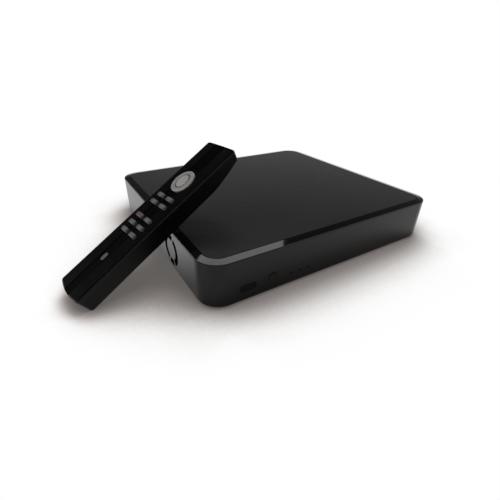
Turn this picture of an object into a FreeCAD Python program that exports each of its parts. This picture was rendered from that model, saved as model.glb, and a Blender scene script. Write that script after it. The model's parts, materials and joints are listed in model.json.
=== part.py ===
import FreeCAD, Part
import os
from math import radians, sqrt, tan

# Low, near-square media player with a hard drive in a side-loading tray, and the
# remote control that belongs to it, which leans on the player's left top edge.
#
# Frame, in millimetres: the origin is where the middle of the front left foot stands on
# the table. +X is the player's right as seen from the front, the front faces -Y, and +Z is
# up. The tray slides out to +X. Every piece is shaped about a point below the middle of the
# case, and moved to the frame at the end.

Vector = FreeCAD.Vector
X_AXIS = Vector(1, 0, 0)
Y_AXIS = Vector(0, 1, 0)
Z_AXIS = Vector(0, 0, 1)
OVERCUT = 1.0             # how far a cutting tool runs past the face that it opens

# ---------------------------------------------------------------- driving dimensions

# Case
CASE_W = 270.0
CASE_D = 244.0
CASE_H = 44.0
CORNER_R = 20.0
UNDER_GAP = 1.2           # shadow gap that the feet leave under the case
WALL = 2.4
FLANGE_W = 14.0           # ledge inside the top of the side shell
FLANGE_T = 1.8
TOP_T = 2.0               # top plate and trim ring
BEVEL_W = 6.4
BEVEL_DROP = 1.2
RING_NECK = 0.35          # dark groove between the side shell and the trim ring
RING_NECK_IN = 1.2
RING_IN = 0.2
RING_FLAT = 0.25          # flat land at the inner edge of the bevel
TOP_SEAM = 0.6
TOP_EDGE_R = 0.3

# Bottom pan, feet and case screws
PAN_T = 2.4
PAN_IN = 1.5
PAN_SEAM = 0.3
RIM_H = 1.6
RIM_T = 1.2
RIM_GAP = 0.3
BOSS_IN = 14.0            # corner screw bosses, in from the side walls
BOSS_R = 4.2
SCREW_R = 1.4
SCREW_L = 14.0
SCREW_HEAD_R = 2.8
SCREW_HEAD_T = 1.4
SCREW_GAP = 0.05
SCREW_SINK = 0.15
FOOT_IN = 34.0
FOOT_R = 7.0
FOOT_SEAT = 0.6
FOOT_GAP = 0.2
PAN_SLOT_L = 34.0
PAN_SLOT_W = 2.4
PAN_SLOT_PITCH = 6.0
PAN_SLOTS = 6
PAN_SLOT_X = -70.0
PAN_SLOT_Y = -40.0

# Hard drive, of the 3.5 inch size
DRIVE_L = 147.0
DRIVE_W = 101.6
DRIVE_H = 26.1
DRIVE_LID_T = 1.2
DRIVE_LID_IN = 2.0
DRIVE_BOARD_T = 1.6
DRIVE_BOARD_IN = 11.8      # board, in from each side of the drive
DRIVE_BOARD_GAP = 0.2
DRIVE_HUB_R = 31.0        # raised disc of the lid, over the platters
DRIVE_HUB_T = 0.5
DRIVE_HUB_X = 88.0        # from the connector end
DRIVE_HOLE_X = (41.3, 85.7)   # bottom screw holes, from the connector end
DRIVE_HOLE_IN = 3.175     # bottom screw holes, in from the drive's sides
DRIVE_SCREW_R = 1.7
DRIVE_SCREW_L = 4.0
DRIVE_SCREW_HEAD_R = 2.9
DRIVE_SCREW_HEAD_T = 0.9

# Serial connector between drive and backplane
PLUG_W = 33.0
PLUG_T = 1.6
PLUG_L = 3.6
PLUG_Y = -18.0            # from the middle of the drive
PLUG_RISE = 2.6           # above the drive's underside
SOCKET_WALL = 1.4
SOCKET_GAP = 0.25
BACKPLANE_T = 1.6
BACKPLANE_H = 24.0
BACKPLANE_GAP = 3.0       # from the drive's plug to the board

# Tray and its cage
TRAY_Y = -8.0
SLED_WALL = 1.8
SLED_FLOOR = 1.6
SLED_WALL_H = 19.0
SLED_SIDE_GAP = 0.4
SLED_REAR = 1.5           # sled floor beyond the drive
RUN_GAP = 0.5             # sled to cage
CAGE_T = 1.0
CAGE_RISE = 1.2
CAGE_WALL_H = 26.0
CAGE_FLANGE = 5.0
CAGE_RIB_T = 4.0
PANEL_T = 4.4
PANEL_SIDE = 4.0          # tray front, beyond the sled on each side
PANEL_TOP = 2.4           # tray front, above the drive
PANEL_GAP = 0.4
PANEL_EDGE_R = 0.4
DRIVE_FRONT_GAP = 4.0

# Eject lever in the tray front
LEVER_L = 46.0
LEVER_H = 12.0
LEVER_T = 2.6
LEVER_GAP = 0.35
LEVER_REST = 0.2          # below the tray front's face
LEVER_END = 6.0           # tray front beyond the lever's pivot end
LEVER_NOTCH = 8.0         # finger notch past the lever's free end
LEVER_PIN_R = 0.75
LEVER_PIN_GAP = 0.04
LEVER_PIN_SEAT = 1.6

# Front fittings
BUTTON_STEP = 24.5        # from the window's middle
BUTTON_Z = 15.5
BUTTON_R = 4.6
BUTTON_GAP = 0.3
BUTTON_PROUD = 0.4
BUTTON_FLANGE = 1.2
BUTTON_FLANGE_T = 1.2
BUTTON_DISH = 0.4
BUTTON_STEM_R = 1.6
BUTTON_TRAVEL = 0.7
WINDOW_IN = 36.5          # window's middle, in from the left wall
WINDOW_Z = 14.5
WINDOW_L = 16.0
WINDOW_H = 7.0
WINDOW_SINK = 0.15
WINDOW_GAP = 0.05
WINDOW_LAP = 1.2
WINDOW_BACK = 1.0
LIGHT_STEPS = (20.0, 29.0, 38.0)   # from the button's middle
LIGHT_Z = 13.0
LIGHT_R = 1.0
LIGHT_GAP = 0.08
FRONT_BOARD_T = 1.6
FRONT_BOARD_SETBACK = 7.0     # from the front wall
FRONT_BOARD_END = 9.0         # board beyond the window and the last light
FRONT_BOARD_TOP = 9.0         # board above the lights
FRONT_BOARD_RISE = 4.0
SWITCH_SIZE = 6.0
SWITCH_T = 1.8
STEM_GAP = 0.15
RECEIVER_SIZE = 5.6
RECEIVER_T = 3.4

# Fan and its round vent in the left wall
FAN_Y = -48.5
FAN_Z = 22.7
FAN_SIZE = 34.5
FAN_T = 10.0
FAN_BORE_R = 16.2
FAN_BLADES = 7
FAN_BLADE_T = 1.1
FAN_BLADE_PITCH = 38.0
FAN_HUB_R = 8.4
FAN_TIP_GAP = 0.6
FAN_END_GAP = 0.5
FAN_PLATE_T = 1.6
FAN_SPOKE_W = 2.4
FAN_SPOKES = 4
FAN_SHAFT_R = 1.5
FAN_SHAFT_GAP = 0.05
VENT_R = 16.0
VENT_SLOT_W = 6.0
VENT_LONG_AT = (90.0, 270.0)      # middles of the top and bottom slots, in degrees
VENT_LONG_HALF = 60.0             # half angle of each
VENT_SHORT_AT = (0.0, 180.0)      # middles of the two side slots
VENT_SHORT_HALF = 21.0

# Main board and what stands on it
BOARD_T = 1.6
BOARD_RISE = 4.6
BOARD_SIDE = 31.0          # from each side of the case
BOARD_GAP = 4.0           # from the cage's flange, and from the rear panel
POST_R = 3.0
POST_IN = 5.0
CHIP_SIZE = 24.0
CHIP_T = 1.8
CHIP_AT = -0.365           # share of the board's half width
SINK_CLEAR = 3.4           # to the board's front edge, and to the deepest socket
SINK_BASE = 3.0
SINK_H = 15.0
SINK_FINS = 8
SINK_FIN_T = 1.2
CAP_R = 4.0
CAP_H = 12.0
CAP_PITCH = 11.0
CAP_COUNT = 3

# Rear panel and sockets, in the order that they stand along it; each _AT is the place of a
# middle as a share of the board's half width
REAR_BEYOND = 5.0          # rear opening, beyond each end of the board
REAR_Z0 = 7.0
REAR_Z1 = 36.5
REAR_LAP = 1.4
REAR_T = 1.2
SOCKET_CUT = 0.3
SOCKET_SINK = 0.6
JACK_AT = -0.885
JACK_W = 10.0
JACK_H = 11.0
JACK_L = 14.0
JACK_BORE_R = 3.1
JACK_PIN_R = 1.0
JACK_DEPTH = 9.0
LAN_AT = -0.635
LAN_W = 16.2
LAN_H = 13.6
LAN_L = 21.0
LAN_MOUTH_W = 12.0
LAN_MOUTH_H = 8.2
LAN_MOUTH_RISE = 2.6
LAN_DEPTH = 13.0
USB_AT = -0.404
USB_W = 13.4
USB_H = 15.8
USB_L = 17.5
USB_MOUTH_W = 12.2
USB_MOUTH_H = 4.9
USB_PITCH = 7.6
USB_DEPTH = 12.0
USB_TONGUE_T = 1.9
HDMI_AT = -0.173
HDMI_W = 15.4
HDMI_H = 6.0
HDMI_L = 12.0
HDMI_WALL = 0.6
HDMI_DEPTH = 8.5
HDMI_TONGUE_T = 1.1
HDMI_CHAMFER = 1.6
OPTICAL_AT = 0.038
OPTICAL_SIZE = 10.2
OPTICAL_L = 13.5
OPTICAL_MOUTH = 6.2
OPTICAL_DEPTH = 2.0
AV_AT = (0.26, 0.404, 0.548, 0.692, 0.836)
AV_R = 4.15
AV_PROUD = 5.5
AV_BORE_R = 1.7
AV_DEPTH = 9.0
AV_COLLAR_R = 5.2
AV_COLLAR_T = 0.8
AV_BLOCK_W = 11.0
AV_BLOCK_H = 13.0
AV_BLOCK_L = 10.0

# Remote control: its own frame has +X from the foot to the top end along the middle of the
# key face, +Y to the left and +Z out of the key face
SET_L = 174.8
SET_W = 40.0
SET_FOOT_BULGE = 2.8      # how far the round foot end stands out
SET_TOP_BULGE = 0.4
SET_T_FOOT = 18.4
SET_T_MID = 19.4
SET_T_DEEP = 20.4
SET_T_NECK = 15.6
SET_T_TOP = 9.6
SET_DEEP_AT = 0.70        # deepest place and the neck, as shares of the length from the foot
SET_NECK_AT = 0.885
SET_LEAN = 9.2            # slope of each side wall, in degrees
SET_CORNER_R = 3.0
SET_HEEL_R = 7.0
SET_BACK_R = 5.0
SET_BACK_OUT = 0.3        # its round runs out this far outside the side walls
SET_FACE_R = 1.8
SET_WALL = 1.7
SET_FACE_T = 2.6
SET_SPLIT = 7.0
SET_SPLIT_GAP = 0.15
SET_PITCH = 30.8          # degrees that its length rises from the floor
SET_YAW = 8.6             # degrees from the player's +X towards its rear
SET_FOOT_Y = -54.6        # where the middle of its foot stands
LEAN_GAP = 0.2
LEAN_STEPS = 30
LEAN_START = 400.0
STRIP_W_FOOT = 9.8
STRIP_W_TOP = 15.0
STRIP_SINK = 0.5
STRIP_T = 0.9
STRIP_GAP = 0.05
STRIP_OVAL = 1.3          # strip's margin round the navigation ring
KEY_ROWS = (105.9, 97.5, 80.9, 72.4, 63.9)   # from the foot
KEY_COL = 7.1             # middle of each key, from the middle of the face
KEY_W = 11.8
KEY_L = 4.3
KEY_R = 1.6
KEY_GAP = 0.3
KEY_PROUD = 1.1
KEY_TRAVEL = 0.7
KEY_LIP = 0.4
KEY_LIP_T = 0.5
KEY_SINK = 0.3            # lip below the inside of the face
KEY_DOME_R = 1.0
NAV_S = 126.3
NAV_L = 24.0
NAV_W = 21.2
NAV_PROUD = 0.8
NAV_EDGE_R = 0.5
OK_L = 13.4
OK_W = 10.6
OK_PROUD = 1.3
OK_GAP = 0.5
MAT_T = 1.0
MAT_GAP = 0.3             # below a key that is pressed home
SET_BOARD_T = 1.2
SET_BOARD_IN = 2.0          # board and key mat to the side walls
SET_BOARD_S0 = 57.6
SET_BOARD_S1 = 162.0
CELL_R = 5.2
CELL_L = 44.0
CELL_S0 = 10.4
CELL_GAP = 0.5            # between the two cells
CELL_NIP_R = 1.7
CELL_NIP_L = 0.9
CELL_TOP = 4.2            # below the key face
CONTACT_T = 0.4
CONTACT_GAP = 0.2
CONTACT_IN = 2.0
BULKHEAD_T = 1.2
RIB_S = (100.0, 148.0)
RIB_T = 1.6
DOOR_S0 = 14.0
DOOR_S1 = 53.0
DOOR_HALF_W = 9.5
DOOR_GAP = 0.25
LENS_L = 2.8              # dark cap that closes the top end
LENS_PLUG_L = 3.0         # its plug, inside the shells
BADGE_S = 36.9
BADGE_L = 7.6
BADGE_W = 4.0
BADGE_PROUD = 0.15
BADGE_T = 0.6

# ---------------------------------------------------------------- levels and places

PAN_Z1 = UNDER_GAP + PAN_T
SHELL_Z0 = PAN_Z1 + PAN_SEAM
SHELL_Z1 = CASE_H - TOP_T
FLANGE_Z0 = SHELL_Z1 - FLANGE_T
RIM_IN = WALL + RIM_GAP
FRONT_Y = -CASE_D / 2
FRONT_IN_Y = FRONT_Y + WALL
REAR_Y = CASE_D / 2
REAR_IN_Y = REAR_Y - WALL
RIGHT_X = CASE_W / 2
LEFT_IN_X = -CASE_W / 2 + WALL

CAGE_Z0 = PAN_Z1 + CAGE_RISE
SLED_Z0 = CAGE_Z0 + CAGE_T + RUN_GAP
SLED_Z1 = SLED_Z0 + SLED_FLOOR
DRIVE_Z0 = SLED_Z1
DRIVE_Z1 = DRIVE_Z0 + DRIVE_H
DRIVE_BOARD_HALF = DRIVE_W / 2 - DRIVE_BOARD_IN
PANEL_X0 = RIGHT_X - PANEL_T
DRIVE_X1 = PANEL_X0 - DRIVE_FRONT_GAP
DRIVE_X0 = DRIVE_X1 - DRIVE_L
SLED_X0 = DRIVE_X0 - SLED_REAR
SLED_HALF_W = DRIVE_W / 2 + SLED_SIDE_GAP + SLED_WALL
CAGE_IN_HALF = SLED_HALF_W + RUN_GAP
CAGE_HALF_W = CAGE_IN_HALF + CAGE_T
PANEL_HALF_W = SLED_HALF_W + PANEL_SIDE
PANEL_Z0 = SLED_Z0
PANEL_Z1 = DRIVE_Z1 + PANEL_TOP
BACKPLANE_X1 = DRIVE_X0 - PLUG_L - BACKPLANE_GAP
BACKPLANE_X0 = BACKPLANE_X1 - BACKPLANE_T
CAGE_X1 = PANEL_X0 - RUN_GAP
LEVER_Z = (PANEL_Z0 + PANEL_Z1) / 2
LEVER_X = RIGHT_X - LEVER_REST - LEVER_T / 2
LEVER_Y0 = TRAY_Y - PANEL_HALF_W + LEVER_END
LEVER_PIVOT_Y = LEVER_Y0 + LEVER_T / 2

WINDOW_X = WINDOW_IN - CASE_W / 2
BUTTON_X = WINDOW_X + BUTTON_STEP
LIGHT_XS = [BUTTON_X + step for step in LIGHT_STEPS]
FRONT_BOARD_Y0 = FRONT_IN_Y + FRONT_BOARD_SETBACK
FRONT_BOARD_Z0 = PAN_Z1 + FRONT_BOARD_RISE
FAN_X0 = LEFT_IN_X
FAN_X1 = FAN_X0 + FAN_T

REAR_PANEL_Y0 = REAR_IN_Y - REAR_T
BOARD_HALF_W = CASE_W / 2 - BOARD_SIDE
REAR_HALF_W = BOARD_HALF_W + REAR_BEYOND
BOARD_Z0 = PAN_Z1 + BOARD_RISE
BOARD_Z1 = BOARD_Z0 + BOARD_T
BOARD_Y0 = TRAY_Y + CAGE_HALF_W + CAGE_FLANGE + BOARD_GAP
BOARD_Y1 = REAR_PANEL_Y0 - BOARD_GAP / 2
SOCKET_Y1 = REAR_Y - SOCKET_SINK
JACK_X = JACK_AT * BOARD_HALF_W
LAN_X = LAN_AT * BOARD_HALF_W
USB_X = USB_AT * BOARD_HALF_W
HDMI_X = HDMI_AT * BOARD_HALF_W
OPTICAL_X = OPTICAL_AT * BOARD_HALF_W
AV_XS = [place * BOARD_HALF_W for place in AV_AT]
AV_Z = BOARD_Z1 + AV_BLOCK_H / 2
CHIP_X = CHIP_AT * BOARD_HALF_W
SINK_SIZE = SOCKET_Y1 - LAN_L - BOARD_Y0 - 2 * SINK_CLEAR
CHIP_Y = BOARD_Y0 + SINK_CLEAR + SINK_SIZE / 2


# ---------------------------------------------------------------- shapes

def block(x0, x1, y0, y1, z0, z1):
    """Box between two corners."""
    return Part.makeBox(x1 - x0, y1 - y0, z1 - z0, Vector(x0, y0, z0))


def rod(radius, length, base, direction):
    """Round bar from a base point along a direction."""
    return Part.makeCylinder(radius, length, base, direction)


def fuse(shapes):
    """One solid out of shapes that touch or overlap."""
    return shapes[0].fuse(shapes[1:]).removeSplitter() if len(shapes) > 1 else shapes[0]


def rounded_face(x0, x1, y0, y1, radius, z):
    """Rounded rectangle in a level plane."""
    r = min(radius, (x1 - x0) / 2 - 0.01, (y1 - y0) / 2 - 0.01)
    h = r * (1 - sqrt(0.5))
    rim = [
        Part.LineSegment(Vector(x0 + r, y0, z), Vector(x1 - r, y0, z)),
        Part.Arc(Vector(x1 - r, y0, z), Vector(x1 - h, y0 + h, z), Vector(x1, y0 + r, z)),
        Part.LineSegment(Vector(x1, y0 + r, z), Vector(x1, y1 - r, z)),
        Part.Arc(Vector(x1, y1 - r, z), Vector(x1 - h, y1 - h, z), Vector(x1 - r, y1, z)),
        Part.LineSegment(Vector(x1 - r, y1, z), Vector(x0 + r, y1, z)),
        Part.Arc(Vector(x0 + r, y1, z), Vector(x0 + h, y1 - h, z), Vector(x0, y1 - r, z)),
        Part.LineSegment(Vector(x0, y1 - r, z), Vector(x0, y0 + r, z)),
        Part.Arc(Vector(x0, y0 + r, z), Vector(x0 + h, y0 + h, z), Vector(x0 + r, y0, z)),
    ]
    return Part.Face(Part.Wire([piece.toShape() for piece in rim]))


def rounded_block(x0, x1, y0, y1, z0, z1, radius):
    """Box with four round upright edges."""
    return rounded_face(x0, x1, y0, y1, radius, z0).extrude(Vector(0, 0, z1 - z0))


def pill_y(x, z, length, height, y0, y1):
    """Round-ended bar lying along X, from y0 to y1."""
    half = (length - height) / 2
    r = height / 2
    body = block(x - half, x + half, y0, y1, z - r, z + r)
    ends = [rod(r, y1 - y0, Vector(x + side * half, y0, z), Y_AXIS) for side in (-1, 1)]
    return fuse([body] + ends)


def case_face(inset, z):
    """The case's outline in plan, moved in from its walls."""
    hw = CASE_W / 2 - inset
    hd = CASE_D / 2 - inset
    return rounded_face(-hw, hw, -hd, hd, max(CORNER_R - inset, 1.0), z)


def case_slab(inset, z0, z1):
    """Level slice of the case's outline."""
    return case_face(inset, z0).extrude(Vector(0, 0, z1 - z0))


def four_corners(inset):
    """Places at the same distance in from the two walls of each corner."""
    hw = CASE_W / 2 - inset
    hd = CASE_D / 2 - inset
    return [(sx * hw, sy * hd) for sx in (-1, 1) for sy in (-1, 1)]


def vent_slot(middle, half):
    """Arc slot through the left wall, its middle at an angle from the front's side."""
    x = -CASE_W / 2 - OVERCUT
    length = WALL + 2 * OVERCUT
    turn = FreeCAD.Placement(Vector(x, FAN_Y, FAN_Z), FreeCAD.Rotation(X_AXIS, middle - half))
    ring = []
    for radius in (VENT_R, VENT_R - VENT_SLOT_W):
        wedge = Part.makeCylinder(radius, length, Vector(0, 0, 0), X_AXIS, 2 * half)
        wedge.Placement = turn.multiply(wedge.Placement)
        ring.append(wedge)
    return ring[0].cut(ring[1])


# ---------------------------------------------------------------- case

def make_side_shell():
    shell = case_slab(0, SHELL_Z0, SHELL_Z1)
    shell = shell.cut(case_slab(WALL, SHELL_Z0 - OVERCUT, FLANGE_Z0))
    shell = shell.cut(case_slab(FLANGE_W, FLANGE_Z0 - OVERCUT, SHELL_Z1 + OVERCUT))
    bosses = [rod(BOSS_R, SHELL_Z1 - PAN_Z1, Vector(x, y, PAN_Z1), Z_AXIS)
              for x, y in four_corners(BOSS_IN)]
    shell = fuse([shell] + bosses)
    cuts = [rod(SCREW_R + SCREW_GAP, SCREW_L, Vector(x, y, PAN_Z1 - OVERCUT), Z_AXIS)
            for x, y in four_corners(BOSS_IN)]
    cuts.append(block(RIGHT_X - WALL - OVERCUT, RIGHT_X + OVERCUT,
                      TRAY_Y - PANEL_HALF_W - PANEL_GAP, TRAY_Y + PANEL_HALF_W + PANEL_GAP,
                      PANEL_Z0 - PANEL_GAP, PANEL_Z1 + PANEL_GAP))
    cuts.append(block(-REAR_HALF_W, REAR_HALF_W, REAR_IN_Y - OVERCUT, REAR_Y + OVERCUT,
                      REAR_Z0, REAR_Z1))
    cuts.append(pill_y(WINDOW_X, WINDOW_Z, WINDOW_L + 2 * WINDOW_GAP, WINDOW_H + 2 * WINDOW_GAP,
                       FRONT_Y - OVERCUT, FRONT_IN_Y + OVERCUT))
    cuts.append(rod(BUTTON_R + BUTTON_GAP, WALL + 2 * OVERCUT,
                    Vector(BUTTON_X, FRONT_Y - OVERCUT, BUTTON_Z), Y_AXIS))
    for x in LIGHT_XS:
        cuts.append(rod(LIGHT_R + LIGHT_GAP, WALL + 2 * OVERCUT,
                        Vector(x, FRONT_Y - OVERCUT, LIGHT_Z), Y_AXIS))
    for middle in VENT_LONG_AT:
        cuts.append(vent_slot(middle, VENT_LONG_HALF))
    for middle in VENT_SHORT_AT:
        cuts.append(vent_slot(middle, VENT_SHORT_HALF))
    return shell.cut(cuts)


def make_bottom_pan():
    pan = case_slab(PAN_IN, UNDER_GAP, PAN_Z1)
    rim = case_slab(RIM_IN, PAN_Z1, PAN_Z1 + RIM_H)
    rim = rim.cut(case_slab(RIM_IN + RIM_T, PAN_Z1 - OVERCUT, PAN_Z1 + RIM_H + OVERCUT))
    extras = [rim]
    for share in (0.1, 0.5, 0.9):
        x = BACKPLANE_X0 + share * (CAGE_X1 - BACKPLANE_X0)
        extras.append(block(x - CAGE_RIB_T / 2, x + CAGE_RIB_T / 2,
                            TRAY_Y - CAGE_IN_HALF, TRAY_Y + CAGE_IN_HALF, PAN_Z1, CAGE_Z0))
    for x in (-BOARD_HALF_W + POST_IN, 0, BOARD_HALF_W - POST_IN):
        for y in (BOARD_Y0 + POST_IN, BOARD_Y1 - POST_IN):
            extras.append(rod(POST_R, BOARD_RISE, Vector(x, y, PAN_Z1), Z_AXIS))
    for x in (front_board_x()[0] + POST_R, front_board_x()[1] - POST_R):
        extras.append(block(x - POST_R, x + POST_R, FRONT_BOARD_Y0 - POST_R,
                            FRONT_BOARD_Y0 + FRONT_BOARD_T + POST_R, PAN_Z1, FRONT_BOARD_Z0))
    pan = fuse([pan] + extras)
    cuts = []
    for x, y in four_corners(BOSS_IN):
        cuts.append(rod(SCREW_R + SCREW_GAP, PAN_T + 2 * OVERCUT,
                        Vector(x, y, UNDER_GAP - OVERCUT), Z_AXIS))
        cuts.append(rod(SCREW_HEAD_R + FOOT_GAP, SCREW_HEAD_T + SCREW_SINK + OVERCUT,
                        Vector(x, y, UNDER_GAP - OVERCUT), Z_AXIS))
    for x, y in four_corners(FOOT_IN):
        cuts.append(rod(FOOT_R + FOOT_GAP, FOOT_SEAT + OVERCUT,
                        Vector(x, y, UNDER_GAP - OVERCUT), Z_AXIS))
    for i in range(PAN_SLOTS):
        x = PAN_SLOT_X + (i - (PAN_SLOTS - 1) / 2) * PAN_SLOT_PITCH
        cuts.append(rounded_block(x - PAN_SLOT_W / 2, x + PAN_SLOT_W / 2,
                                  PAN_SLOT_Y - PAN_SLOT_L / 2, PAN_SLOT_Y + PAN_SLOT_L / 2,
                                  UNDER_GAP - OVERCUT, PAN_Z1 + OVERCUT, PAN_SLOT_W / 2))
    return pan.cut(cuts)


def make_trim_ring():
    land_z = CASE_H - BEVEL_DROP
    neck = case_slab(RING_NECK_IN, SHELL_Z1, SHELL_Z1 + RING_NECK)
    land = case_slab(RING_IN, SHELL_Z1 + RING_NECK, land_z)
    bevel = Part.makeLoft([case_face(RING_IN, land_z).OuterWire,
                           case_face(RING_IN + BEVEL_W, CASE_H).OuterWire], True, True)
    ring = fuse([neck, land, bevel])
    opening = case_slab(RING_IN + BEVEL_W + RING_FLAT, SHELL_Z1 - OVERCUT, CASE_H + OVERCUT)
    return ring.cut(opening)


def make_top_plate():
    plate = case_slab(RING_IN + BEVEL_W + RING_FLAT + TOP_SEAM, SHELL_Z1, CASE_H)
    rim = [edge for edge in plate.Edges if edge.BoundBox.ZMin > CASE_H - TOP_EDGE_R]
    return plate.makeFillet(TOP_EDGE_R, rim)


def make_feet():
    return Part.makeCompound([rod(FOOT_R, UNDER_GAP + FOOT_SEAT, Vector(x, y, 0), Z_AXIS)
                              for x, y in four_corners(FOOT_IN)])


def make_case_screws():
    screws = []
    head_z = UNDER_GAP + SCREW_SINK
    for x, y in four_corners(BOSS_IN):
        head = rod(SCREW_HEAD_R, SCREW_HEAD_T, Vector(x, y, head_z), Z_AXIS)
        shank = rod(SCREW_R, PAN_Z1 - head_z + SCREW_L - 2 * OVERCUT, Vector(x, y, head_z), Z_AXIS)
        slot = block(x - SCREW_HEAD_R, x + SCREW_HEAD_R, y - SCREW_R / 4, y + SCREW_R / 4,
                     head_z, head_z + SCREW_HEAD_T / 2)
        screws.append(fuse([head, shank]).cut(slot))
    return Part.makeCompound(screws)


# ---------------------------------------------------------------- front fittings

def front_board_x():
    """Where the front board begins and ends along X."""
    return (WINDOW_X - WINDOW_L / 2 - FRONT_BOARD_END + POST_R, LIGHT_XS[-1] + FRONT_BOARD_END)


def make_ir_window():
    lens = pill_y(WINDOW_X, WINDOW_Z, WINDOW_L, WINDOW_H, FRONT_Y + WINDOW_SINK, FRONT_IN_Y)
    back = pill_y(WINDOW_X, WINDOW_Z, WINDOW_L + 2 * WINDOW_LAP, WINDOW_H + 2 * WINDOW_LAP,
                  FRONT_IN_Y, FRONT_IN_Y + WINDOW_BACK)
    return fuse([lens, back])


def make_ir_receiver():
    half = RECEIVER_SIZE / 2
    return block(WINDOW_X - half, WINDOW_X + half, FRONT_BOARD_Y0 - RECEIVER_T, FRONT_BOARD_Y0,
                 WINDOW_Z - half, WINDOW_Z + half)


def make_power_button():
    flange_y = FRONT_IN_Y + BUTTON_GAP
    face = Vector(BUTTON_X, FRONT_Y - BUTTON_PROUD, BUTTON_Z)
    cap = rod(BUTTON_R, flange_y - face.y, face, Y_AXIS)
    flange = rod(BUTTON_R + BUTTON_FLANGE, BUTTON_FLANGE_T,
                 Vector(BUTTON_X, flange_y, BUTTON_Z), Y_AXIS)
    stem_y = flange_y + BUTTON_FLANGE_T
    switch_y = FRONT_BOARD_Y0 - SWITCH_T
    stem = rod(BUTTON_STEM_R, switch_y - BUTTON_TRAVEL - STEM_GAP - stem_y,
               Vector(BUTTON_X, stem_y, BUTTON_Z), Y_AXIS)
    dish_r = (BUTTON_R ** 2 / BUTTON_DISH + BUTTON_DISH) / 2
    dish = Part.makeSphere(dish_r, face - Vector(0, dish_r - BUTTON_DISH, 0))
    return fuse([cap, flange, stem]).cut(dish)


def make_power_switch():
    half = SWITCH_SIZE / 2
    return block(BUTTON_X - half, BUTTON_X + half, FRONT_BOARD_Y0 - SWITCH_T, FRONT_BOARD_Y0,
                 BUTTON_Z - half, BUTTON_Z + half)


def make_indicator_lights():
    return Part.makeCompound([rod(LIGHT_R, FRONT_BOARD_Y0 - FRONT_Y,
                                  Vector(x, FRONT_Y, LIGHT_Z), Y_AXIS) for x in LIGHT_XS])


def make_front_board():
    x0, x1 = front_board_x()
    top = max(LIGHT_Z, BUTTON_Z, WINDOW_Z) + FRONT_BOARD_TOP
    return block(x0, x1, FRONT_BOARD_Y0, FRONT_BOARD_Y0 + FRONT_BOARD_T, FRONT_BOARD_Z0, top)


# ---------------------------------------------------------------- fan

def make_fan_frame():
    half = FAN_SIZE / 2
    frame = block(FAN_X0, FAN_X1, FAN_Y - half, FAN_Y + half, FAN_Z - half, FAN_Z + half)
    centre = Vector(FAN_X0 - OVERCUT, FAN_Y, FAN_Z)
    frame = frame.cut(rod(FAN_BORE_R, FAN_T + 2 * OVERCUT, centre, X_AXIS))
    plate_x = FAN_X1 - FAN_PLATE_T
    plate = [rod(FAN_HUB_R, FAN_PLATE_T, Vector(plate_x, FAN_Y, FAN_Z), X_AXIS)]
    for i in range(FAN_SPOKES):
        spoke = block(plate_x, FAN_X1, FAN_Y - FAN_SPOKE_W / 2, FAN_Y + FAN_SPOKE_W / 2,
                      FAN_Z, FAN_Z + FAN_BORE_R + FAN_SHAFT_R / 4)
        spoke.rotate(Vector(0, FAN_Y, FAN_Z), X_AXIS, 45 + i * 360 / FAN_SPOKES)
        plate.append(spoke)
    bearing = rod(FAN_SHAFT_R + FAN_SHAFT_GAP, FAN_T, Vector(plate_x - OVERCUT, FAN_Y, FAN_Z), X_AXIS)
    return fuse([frame] + plate).cut(bearing)


def make_fan_rotor():
    x0 = FAN_X0 + FAN_END_GAP
    x1 = FAN_X1 - FAN_PLATE_T - FAN_END_GAP
    tip_r = FAN_BORE_R - FAN_TIP_GAP
    depth = x1 - x0
    blades = []
    for i in range(FAN_BLADES):
        blade = block(-depth, depth, -FAN_BLADE_T / 2, FAN_BLADE_T / 2, FAN_HUB_R / 2, tip_r + OVERCUT)
        blade.rotate(Vector(0, 0, 0), Z_AXIS, FAN_BLADE_PITCH)
        blade.translate(Vector((x0 + x1) / 2, FAN_Y, FAN_Z))
        blade.rotate(Vector(0, FAN_Y, FAN_Z), X_AXIS, i * 360 / FAN_BLADES)
        blades.append(blade)
    sweep = rod(tip_r, depth, Vector(x0, FAN_Y, FAN_Z), X_AXIS)
    blades = [blade.common(sweep) for blade in blades]
    hub = rod(FAN_HUB_R, depth, Vector(x0, FAN_Y, FAN_Z), X_AXIS)
    shaft = rod(FAN_SHAFT_R, FAN_X1 - x1, Vector(x1, FAN_Y, FAN_Z), X_AXIS)
    return fuse([hub, shaft] + blades)


# ---------------------------------------------------------------- main board and sockets

def make_main_board():
    return block(-BOARD_HALF_W, BOARD_HALF_W, BOARD_Y0, BOARD_Y1, BOARD_Z0, BOARD_Z1)


def make_processor():
    half = CHIP_SIZE / 2
    return block(CHIP_X - half, CHIP_X + half, CHIP_Y - half, CHIP_Y + half,
                 BOARD_Z1, BOARD_Z1 + CHIP_T)


def make_heat_sink():
    half = SINK_SIZE / 2
    z0 = BOARD_Z1 + CHIP_T
    base = block(CHIP_X - half, CHIP_X + half, CHIP_Y - half, CHIP_Y + half, z0, z0 + SINK_BASE)
    step = (SINK_SIZE - SINK_FIN_T) / (SINK_FINS - 1)
    fins = []
    for i in range(SINK_FINS):
        x = CHIP_X - half + i * step
        fins.append(block(x, x + SINK_FIN_T, CHIP_Y - half, CHIP_Y + half,
                          z0 + SINK_BASE, z0 + SINK_H))
    return fuse([base] + fins)


def make_capacitors():
    y = BOARD_Y0 + CAP_R + BOARD_GAP
    return Part.makeCompound([rod(CAP_R, CAP_H, Vector(JACK_X + i * CAP_PITCH, y, BOARD_Z1), Z_AXIS)
                              for i in range(CAP_COUNT)])


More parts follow.
